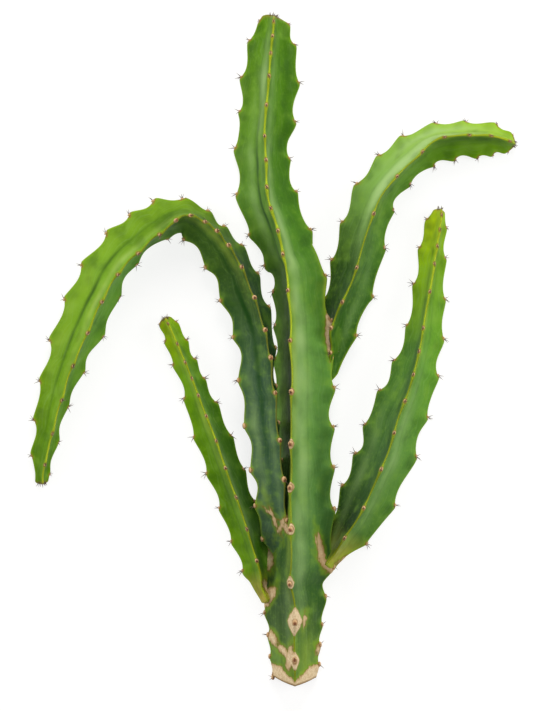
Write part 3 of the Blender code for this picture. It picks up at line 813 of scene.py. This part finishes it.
def roll_up(stem):
    """The skin of a stem as a closed mesh object."""
    points, skin_map, fields = skin_of(stem)
    sheet = bmesh.new()
    bmesh.ops.create_grid(sheet, x_segments=COLUMNS - 1, y_segments=len(points) - 1, size=1.0)
    data = mesh_of(stem.name + "_skin", sheet)
    data.vertices.foreach_set("co", (points * MM).ravel())
    for name in MEASURES:
        full = np.broadcast_to(fields[name].reshape(len(points), -1), points.shape[:2])
        data.attributes.new(name, "FLOAT", "POINT").data.foreach_set("value", full.ravel())
    corners = np.empty(len(data.loops), int)
    data.loops.foreach_get("vertex_index", corners)
    layer = data.uv_layers.new(name="skin_map")
    layer.data.foreach_set("uv", (skin_map * MM).reshape(-1, 2)[corners].ravel())
    closed = bmesh.new()
    closed.from_mesh(data)
    bmesh.ops.remove_doubles(closed, verts=closed.verts, dist=SAME_POINT * MM)
    bmesh.ops.recalc_face_normals(closed, faces=closed.faces)
    closed.to_mesh(data)
    stem.surface = BVHTree.FromBMesh(closed)
    closed.free()
    data.shade_smooth()
    return add_object(data.name, data)


skins = {name: roll_up(stem) for name, stem in stems.items()}
print("faces:", {name: len(skin.data.polygons) for name, skin in skins.items()})

# %% [markdown]
# Living cactus skin is a thin waxy cuticle over green flesh. The wax gives a soft, wide sheen and a bluish
# bloom, and it never shines like plastic. The green is darkest and bluest on old growth and turns a bright
# yellow-green at the tips. One side of a stem is painted lighter than the other, as painted light and shade
# where light falls more on that side. Two ramps along the stem hold that, one for each side of the front
# crest. Every later layer is a mask and a colour, painted over the one before.

# %% The colours of the skin
# Sizes of the soft patches, the fine mottling, the streaks along a stem and the cracks in cork
PATCH = 16.0
MOTTLE = 2.6
STREAK_LONG = 38.0
STREAK_WIDE = 1.7
CRACK = 1.1  # coarser than the real ones, which are too fine to show
WAX_ROUGHNESS = 0.42
CORK_ROUGHNESS = 0.9
SIDE_BLEND = 0.1  # how far the left colour runs into the right one, as a share of a flank

# Distance behind the tip in millimetres, and the colour to the left and to the right of the front crest.
# The two sides differ for the most part by painted light and shade.
TONES = {
    MAIN: (
        (0, "#4c7a00", "#467400"), (70, "#5a8618", "#4a7a08"), (150, "#58842a", "#437214"),
        (260, "#527828", "#578832"), (330, "#506e32", "#588838"), (440, "#466638", "#4e783a"),
        (500, "#2e4822", "#305418"), (548, "#4e6c28", "#56782a"),
    ),
    LEFT_ARCH: (
        (0, "#4e7a00", "#4c7600"), (60, "#5a8814", "#5e880a"), (200, "#5c902e", "#6e9a24"),
        (275, "#50762a", "#648a16"), (330, "#3e5a22", "#3c5c30"), (430, "#38543e", "#334e38"),
        (540, "#425c44", "#38543a"),
    ),
    RIGHT_ARCH: (
        (0, "#8cb420", "#6a980c"), (50, "#8eb440", "#609010"), (120, "#78a24a", "#5c8a2c"),
        (200, "#304f18", "#3c6820"), (290, "#284514", "#305a14"),
    ),
    RIGHT_LOW: (
        (0, "#b0c814", "#92b818"), (50, "#8ab414", "#6a9612"), (120, "#4c7828", "#5c9228"),
        (210, "#42682e", "#5b8a38"), (280, "#122e06", "#507a2c"), (308, "#78842e", "#a8a83c"),
    ),
    LEFT_LOW: (
        (0, "#aac808", "#80a808"), (50, "#6c9c04", "#4c7c0c"), (140, "#4f7a04", "#3e6a0e"),
        (225, "#628c0c", "#426e14"), (248, "#b0a040", "#a89a3c"),
    ),
}
WAX = linear("#86a86a")
MARGIN = linear("#84a418")
LINE = linear("#adbf2c")
OLD_LINE = linear("#77701c")
# Colours of the painted light, and of the painted sheen that is partly the wax's own bloom
PAINTED_LIGHT = linear("#a3bc3c")
BLOOM_AND_SHEEN = linear("#9aba76")
LIT_SKIN = linear("#7ea838")
SHADED_SKIN = linear("#1f4416")
AREOLE_BROWN = linear("#8a6238")
CORK_PALE = linear("#e0cba6")
CORK_DARK = linear("#b3946a")
CORK_EDGE = linear("#7a5a2c")

# A measure or texture, where its layer starts and is full, its strength and its colour. Where a texture moves
# the border, how far and which one follow.
SKIN_LAYERS = (
    # Painted light and painted shade in soft patches and fine mottling, like dimples that catch the light
    ("patch", 0.5, 0.75, 0.36, LIT_SKIN),
    ("patch", 0.5, 0.28, 0.32, SHADED_SKIN),
    ("mottle", 0.5, 0.75, 0.18, LIT_SKIN),
    ("streak", 0.45, 0.8, 0.16, WAX),
    # The long streaks: painted shade, painted light, and painted sheen that is partly the wax's own bloom
    ("shade", 0.0, 1.0, 1.0, SHADED_SKIN),
    ("sun", 0.0, 1.0, 1.0, PAINTED_LIGHT),
    ("bloom", 0.0, 1.0, 1.0, BLOOM_AND_SHEEN),
    # Painted shade in the valleys
    ("valley", 2.4, 0.0, 0.12, SHADED_SKIN),
    # Painted light above each areole's swelling and painted shade below it
    ("above", 0.1, 1.0, 0.15, LIT_SKIN),
    ("below", 0.1, 1.0, 0.18, SHADED_SKIN),
    ("edge", 2.4, 0.6, 0.4, MARGIN, 0.8, "patch"),
    ("edge", 0.9, 0.3, 0.5, LINE, 0.4, "mottle"),
    ("line", 3.4, 0.4, 0.5, MARGIN, 0.8, "patch"),
    ("rib", 0.9, 0.3, 0.55, OLD_LINE, 0.4, "mottle"),
    ("line", 1.5, 0.2, 0.8, LINE, 0.5, "patch"),
    ("areole", 5.0, 2.0, 0.35, MARGIN),
    ("back", 4.5, 0.0, 0.6, AREOLE_BROWN, 1.0, "mottle"),
    ("areole", 2.9, 1.6, 0.65, AREOLE_BROWN, 0.6, "mottle"),
)
CORK_LAYERS = (
    ("mottle", 0.4, 0.7, 0.45, CORK_DARK),
    ("crack", 0.1, 0.0, 0.4, CORK_EDGE),
    ("cork", 2.6, 0.4, 0.65, CORK_DARK, 0.8, "streak"),
    # Painted shade: cork turns browner where the streaks paint shade on the skin
    ("shade", 0.1, 0.6, 0.5, CORK_EDGE),
    ("areole", 3.6, 2.0, 0.75, AREOLE_BROWN, 0.9, "mottle"),
    ("rim", 2.6, 0.6, 0.8, CORK_EDGE, 0.6, "mottle"),
)
print("layers on skin and cork:", len(SKIN_LAYERS), len(CORK_LAYERS))

# %% Waxy skin with its cork


def two_ramps(tree, stem, back):
    """The colour to the left and to the right of the front crest, by distance behind the tip."""
    reach = node(tree, "MapRange", {"Value": back, "From Min": 0.0, "From Max": stem.length})
    places, *sides = zip(*TONES[stem.name])
    places = [min(1.0, place / stem.length) for place in places]
    return [node(tree, "ValToRGB", {"Fac": reach}, stops=list(zip(places, colours))) for colours in sides]


def paint(tree, measures, colour, layers):
    """Paints layers over a colour: a measure, a soft step in it, and the colour that it brings."""
    for name, start, full, most, tone, *border in layers:
        value = measures[name]
        if border:
            reach, texture = border
            start, full = start + reach, full + reach
            moved = {0: measures[texture], 1: 2 * reach, 2: value}
            value = node(tree, "Math", moved, operation="MULTIPLY_ADD")
        ends = {"Value": value, "From Min": start, "From Max": full, "To Min": 0.0, "To Max": most}
        factor = node(tree, "MapRange", ends, interpolation_type="SMOOTHSTEP")
        colour = node(tree, "Mix", {"Factor": factor, "A": colour, "B": tone}, data_type="RGBA")
    return colour, factor


def skin_finish(stem):
    """Waxy plant skin with its cork, for one stem: matt wax at a low gloss, and cork that is duller still."""
    gloss = {"Roughness": WAX_ROUGHNESS, "Specular IOR Level": 0.04}
    material, tree, shader = finish(stem.name + "_waxy_skin", gloss)
    place = node(tree, "TexCoord").outputs["Object"]
    measures = {name: node(tree, "Attribute", attribute_name=name).outputs["Fac"] for name in MEASURES}
    stretch = (1 / (STREAK_LONG * MM), 1 / (STREAK_WIDE * MM), 1)
    drawn_out = node(tree, "Mapping", {"Vector": node(tree, "UVMap", uv_map="skin_map"), "Scale": stretch})
    textures = {
        "patch": {"Vector": place, "Scale": 1 / (PATCH * MM), "Detail": 2.0},
        "mottle": {"Vector": place, "Scale": 1 / (MOTTLE * MM), "Detail": 3.0},
        "streak": {"Vector": drawn_out, "Scale": 1.0, "Detail": 2.0},
    }
    for name, inputs in textures.items():
        measures[name] = node(tree, "TexNoise", inputs).outputs[0]
    crack = {"Vector": place, "Scale": 1 / (CRACK * MM)}
    measures["crack"] = node(tree, "TexVoronoi", crack, feature="DISTANCE_TO_EDGE").outputs["Distance"]

    left, right = two_ramps(tree, stem, measures["back"])
    front = {"Value": measures["round"], "From Min": -SIDE_BLEND, "From Max": SIDE_BLEND}
    side = node(tree, "MapRange", front)
    green = node(tree, "Mix", {"Factor": side, "A": left, "B": right}, data_type="RGBA")
    green = paint(tree, measures, green, SKIN_LAYERS)[0]
    cork = paint(tree, measures, CORK_PALE, CORK_LAYERS)[0]
    outline = (
        ("cork", -4.0, -0.8, 0.35, MARGIN, 2.0, "patch"),
        ("cork", -1.2, -0.2, 0.6, CORK_EDGE, 1.1, "mottle"),
        ("cork", -0.5, 0.6, 1.0, cork, 1.6, "streak"),
    )
    colour, corked = paint(tree, measures, green, outline)
    dull = node(tree, "MapRange", {"Value": corked, "To Min": WAX_ROUGHNESS, "To Max": CORK_ROUGHNESS})
    bump = node(tree, "Bump", {"Height": measures["mottle"], "Strength": 0.35, "Distance": 0.3 * MM})
    wire(tree, shader, {"Base Color": colour, "Roughness": dull, "Normal": bump})
    return material


for name, skin in skins.items():
    skin.data.materials.append(skin_finish(stems[name]))
    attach(skin, "root")
    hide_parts(name)
print("skins painted:", len(skins))

# %% [markdown]
# Each areole is a cushion of short felt, tan towards the tip and red-brown where two or three stiff spines
# come out. The cushions start as small spheres that are pressed flat against the skin. A spine is one cone,
# which is copied, stretched and turned into each place. Spines are short on young growth, few on the oldest,
# and the very tip of a stem has a crowd of tiny ones. A ray from outside finds the finished skin, so that
# every cushion sits on it.

# %% The patterns of a cushion and a spine
FELT_SIDES = (10, 6)
SPINE_SIDES = 5
SPINE_POINT = 0.12
FACE_ORDER = Vector((1.0, 1.0, 100.0))  # up the ball, and from its one side to the other

ball = bmesh.new()
bmesh.ops.create_uvsphere(ball, u_segments=FELT_SIDES[0], v_segments=FELT_SIDES[1], radius=1.0)
# A new sphere has its faces in another order each time, so they are sorted by place
ball.faces.sort(key=lambda face: face.calc_center_median().dot(FACE_ORDER))
FELT = mesh_of("felt_pattern", ball)
cone = bmesh.new()
ends = {"radius1": 1.0, "radius2": SPINE_POINT, "depth": 1.0, "cap_ends": True}
bmesh.ops.create_cone(cone, segments=SPINE_SIDES, matrix=Matrix.Translation((0, 0, 0.5)), **ends)
long_edges = [edge for edge in cone.edges if abs(edge.verts[0].co.z - edge.verts[1].co.z) > 0.5]
bmesh.ops.subdivide_edges(cone, edges=long_edges, cuts=2)
SPINE = mesh_of("spine_pattern", cone)
print("faces of a cushion and a spine:", len(FELT.polygons), len(SPINE.polygons))

# %% Areoles and spines
SEED = 5
FELT_RADIUS = (0.9, 2.1)  # youngest and oldest
FELT_AGE = 420.0
FELT_HEIGHT = 0.6
FELT_LONG = 1.15
FELT_VARIES = (0.85, 1.15)
FELT_EYE = 0.35  # how far the brown eye lies towards the base, as a share of the radius
SPINE_RADIUS = 0.5
SPINE_LENGTH = (3.8, 6.2)
SPINE_LEANS = (-34.0, -12.0, 12.0, 34.0)
SPINE_STRAY = 9.0
SPINE_SPLAY = 24.0
SPINE_COUNTS = (2, 3, 3)  # one of these is drawn for each areole
WORN_COUNTS = (0, 1, 2)
WORN_AGE = 430.0  # on growth this old most spines have dropped
YOUNG_SHARE = 0.45
YOUNG_LENGTH = 100.0
SPINE_ROOT = 0.8  # the length that is sunk in the cushion
SEEK = 12.0  # how far outside the skin a ray starts
CROWN_SPINES = 11
CROWN_LENGTH = (1.8, 3.8)
CROWN_STRAY = 0.3
CROWN_SPREAD = (0.2, 1.0)
CROWN_DEPTH = (0.5, 3.5)
CROWN_SLOPE = 0.6


def axes(foot, x, y, z):
    """A matrix to metres that takes the unit axes to x, y and z and the origin to foot, in millimetres."""
    turned = Matrix((x, y, z)).transposed().to_4x4()
    return Matrix.Translation(foot * MM) @ turned @ Matrix.Scale(MM, 4)


def place_copy(piece, pattern, matrix, tone):
    """Adds a copy of a pattern to a piece, placed by a matrix, with a tone for each point of the pattern."""
    before = len(piece.verts)
    piece.from_mesh(pattern)
    piece.verts.ensure_lookup_table()
    layer = piece.verts.layers.float["tone"]
    for vertex in piece.verts[before:]:
        vertex[layer] = tone(vertex.co)
        vertex.co = matrix @ vertex.co


def on_skin(stem, foot, out):
    """The point of the finished skin that a ray from outside meets, in millimetres."""
    hit = stem.surface.ray_cast((foot + out * SEEK) * MM, -out, 2 * SEEK * MM)[0]
    return hit / MM if hit else foot


def add_spine(spines, foot, direction, length):
    """One spine, which never points down through the surface that the cutting lies on."""
    direction.z = max(direction.z, (2 * SPINE_RADIUS - foot.z) / length)
    direction.normalize()
    side = direction.orthogonal().normalized()
    wide, deep = side * SPINE_RADIUS, direction.cross(side) * SPINE_RADIUS
    size = (wide, deep, direction * (length + SPINE_ROOT))
    place_copy(spines, SPINE, axes(foot - direction * SPINE_ROOT, *size), lambda co: co.z)


def eye_tone(co):
    """The tone of a point of a cushion, highest in its brown eye."""
    return 1 - math.hypot(co.x, co.y + FELT_EYE)


def dress(stem, rng):
    """The felt cushions and the spines of one stem, as two meshes."""
    felts, spines = bmesh.new(), bmesh.new()
    for piece in (felts, spines):
        piece.verts.layers.float.new("tone")
    for wing, places in stem.areoles.items():
        for along in places:
            foot, out, onward, across = stem.seat(wing, along)
            foot = on_skin(stem, foot, out)
            back = stem.length - along
            radius = float(np.interp(back, (0, FELT_AGE), FELT_RADIUS)) * rng.uniform(*FELT_VARIES)
            size = (across * radius, onward * radius * FELT_LONG, out * radius * FELT_HEIGHT)
            foot.z = max(foot.z, radius)
            place_copy(felts, FELT, axes(foot, *size), eye_tone)
            share = min(1.0, YOUNG_SHARE + back / YOUNG_LENGTH)
            count = rng.choice(SPINE_COUNTS if back < WORN_AGE else WORN_COUNTS)
            for lean in rng.sample(SPINE_LEANS, count):
                lean = math.radians(lean + rng.uniform(-SPINE_STRAY, SPINE_STRAY))
                splay = math.radians(rng.uniform(-SPINE_SPLAY, SPINE_SPLAY))
                direction = (out + onward * math.tan(lean) + across * math.tan(splay)).normalized()
                add_spine(spines, foot, direction, rng.uniform(*SPINE_LENGTH) * share)
    top, onward, sideways, up = (Vector(value[0]) for value in stem.frame(np.array([stem.length]))[:4])
    for number in range(CROWN_SPINES):
        turn = 2 * math.pi * number / CROWN_SPINES + rng.uniform(-CROWN_STRAY, CROWN_STRAY)
        out = sideways * math.cos(turn) + up * math.sin(turn)
        direction = (onward + out * rng.uniform(*CROWN_SPREAD)).normalized()
        inside = top - onward * rng.uniform(*CROWN_DEPTH)
        foot = on_skin(stem, inside, (out + onward * CROWN_SLOPE).normalized())
        add_spine(spines, foot, direction, rng.uniform(*CROWN_LENGTH))
    return felts, spines


rng = random.Random(SEED)
dressings = {name: dress(stem, rng) for name, stem in stems.items()}
for pattern in (FELT, SPINE):
    bpy.data.meshes.remove(pattern)
print("points of felt:", {name: len(pair[0].verts) for name, pair in dressings.items()})

# %% [markdown]
# Felt is a mat of short hairs, which scatters light and never shines. Spines are horn: hard, dark brown and a
# little glossy, red at the root and weathered grey at the point. Both read the tone that is stored on their
# points, moved a little by fine grain, so that no two of them look the same.

# %% Finishes of felt and horn
GRAIN = 0.8  # coarser than real hairs, so that it shows
GRAIN_SHIFT = 0.4


def toned_finish(name, tones, roughness):
    """A material whose colour follows the tone that is stored on the points."""
    material, tree, shader = finish(name, {"Roughness": roughness})
    tone = node(tree, "Attribute", attribute_name="tone").outputs["Fac"]
    place = node(tree, "TexCoord").outputs["Object"]
    grain = node(tree, "TexNoise", {"Vector": place, "Scale": 1 / (GRAIN * MM), "Detail": 2.0})
    moved = node(tree, "Math", {0: grain, 1: GRAIN_SHIFT, 2: tone}, operation="MULTIPLY_ADD")
    ramp = node(tree, "ValToRGB", {"Fac": moved}, stops=tones)
    bump = node(tree, "Bump", {"Height": grain, "Strength": 0.5, "Distance": 0.2 * MM})
    wire(tree, shader, {"Base Color": ramp, "Normal": bump})
    return material


felt = toned_finish("areole_felt", ((0.3, "#c4a076"), (0.6, "#a0744a"), (0.85, "#7c4c30")), 0.95)
horn = toned_finish("spine_horn", ((0.2, "#5e3424"), (0.6, "#4e3a2c"), (1.0, "#6a5a46")), 0.5)
for name, pair in dressings.items():
    for kind, mesh, material in zip(("areoles", "spines"), pair, (felt, horn)):
        data = mesh_of(name + "_" + kind, mesh)
        data.shade_smooth()
        data.materials.append(material)
        piece = add_object(data.name, data)
        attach(piece, "root")
print("pieces:", len(dressings) * 2)
